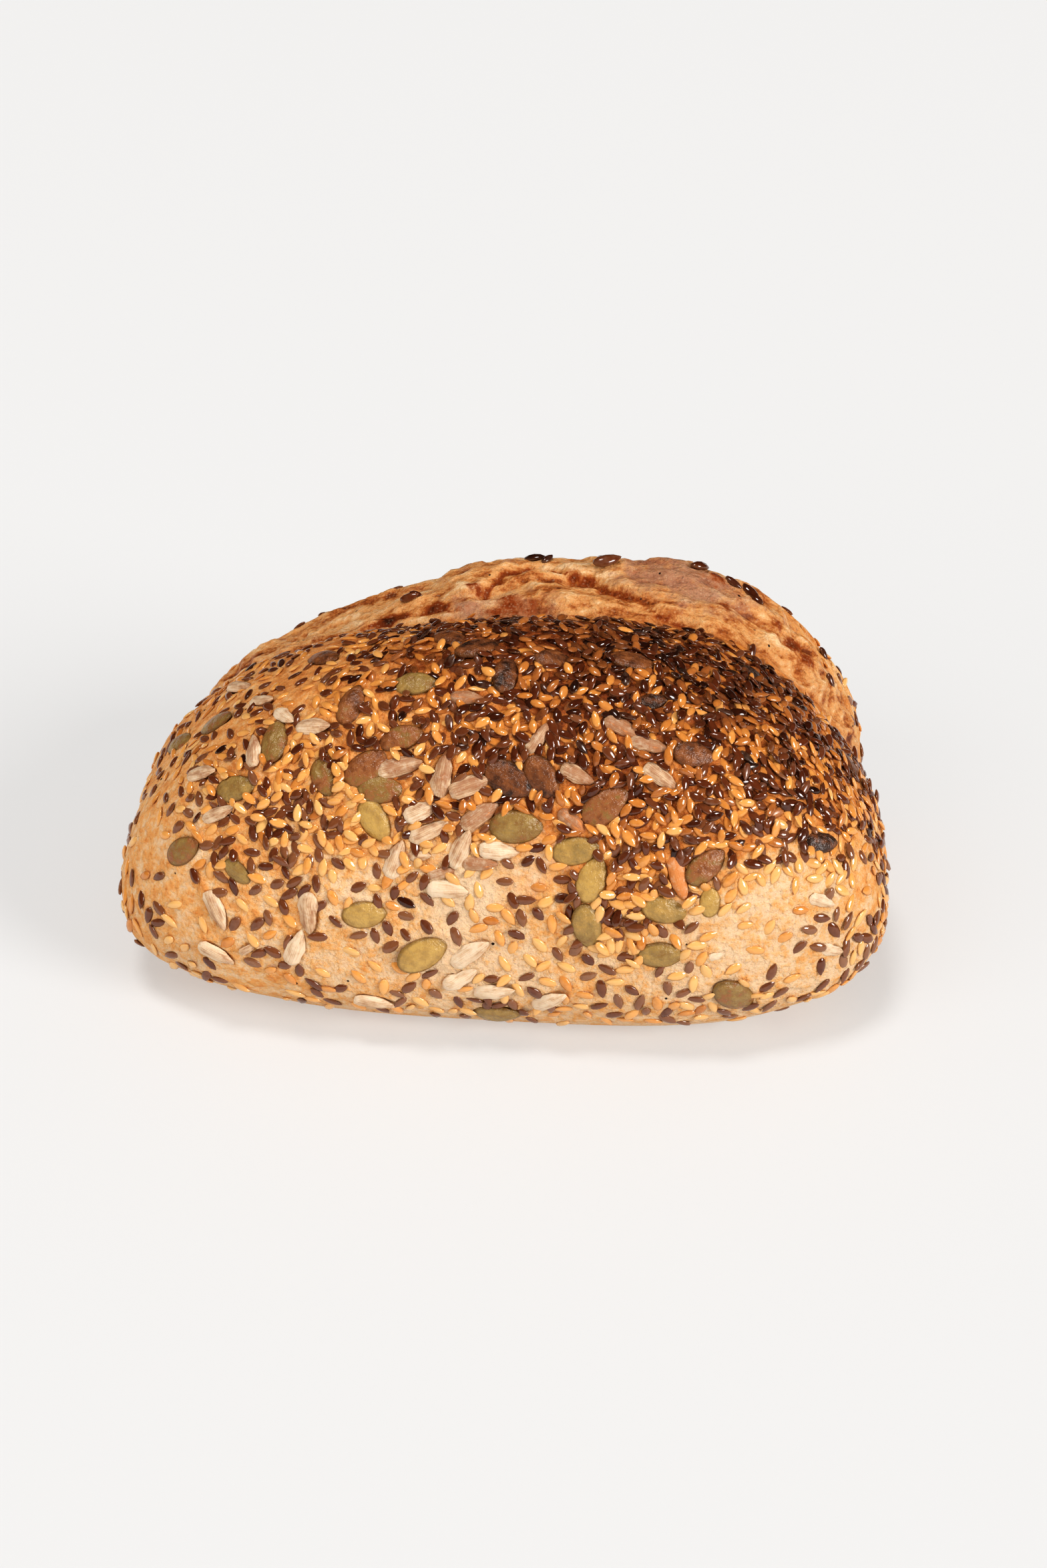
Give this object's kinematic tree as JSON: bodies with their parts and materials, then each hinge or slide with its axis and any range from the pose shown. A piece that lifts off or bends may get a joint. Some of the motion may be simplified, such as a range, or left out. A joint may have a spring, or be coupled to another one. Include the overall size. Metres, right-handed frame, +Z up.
{
  "type": "seeded multigrain loaf",
  "caption": "Whole oblong multigrain loaf with a seeded crust of linseed, sunflower and pumpkin seeds, burst open along the top into a bare band of crust.",
  "frame": {"origin": "middle of the footprint, on the surface that the loaf stands on", "axes": "+X along the loaf, -Y towards its seeded front, +Z up"},
  "size_m": [0.2099, 0.1503, 0.0963],
  "materials": {
    "baked_crust": "matte baked crust, golden brown, with seeds baked on"
  },
  "bodies": {
    "root": {"loaf": "baked_crust"}
  },
  "joints": []
}
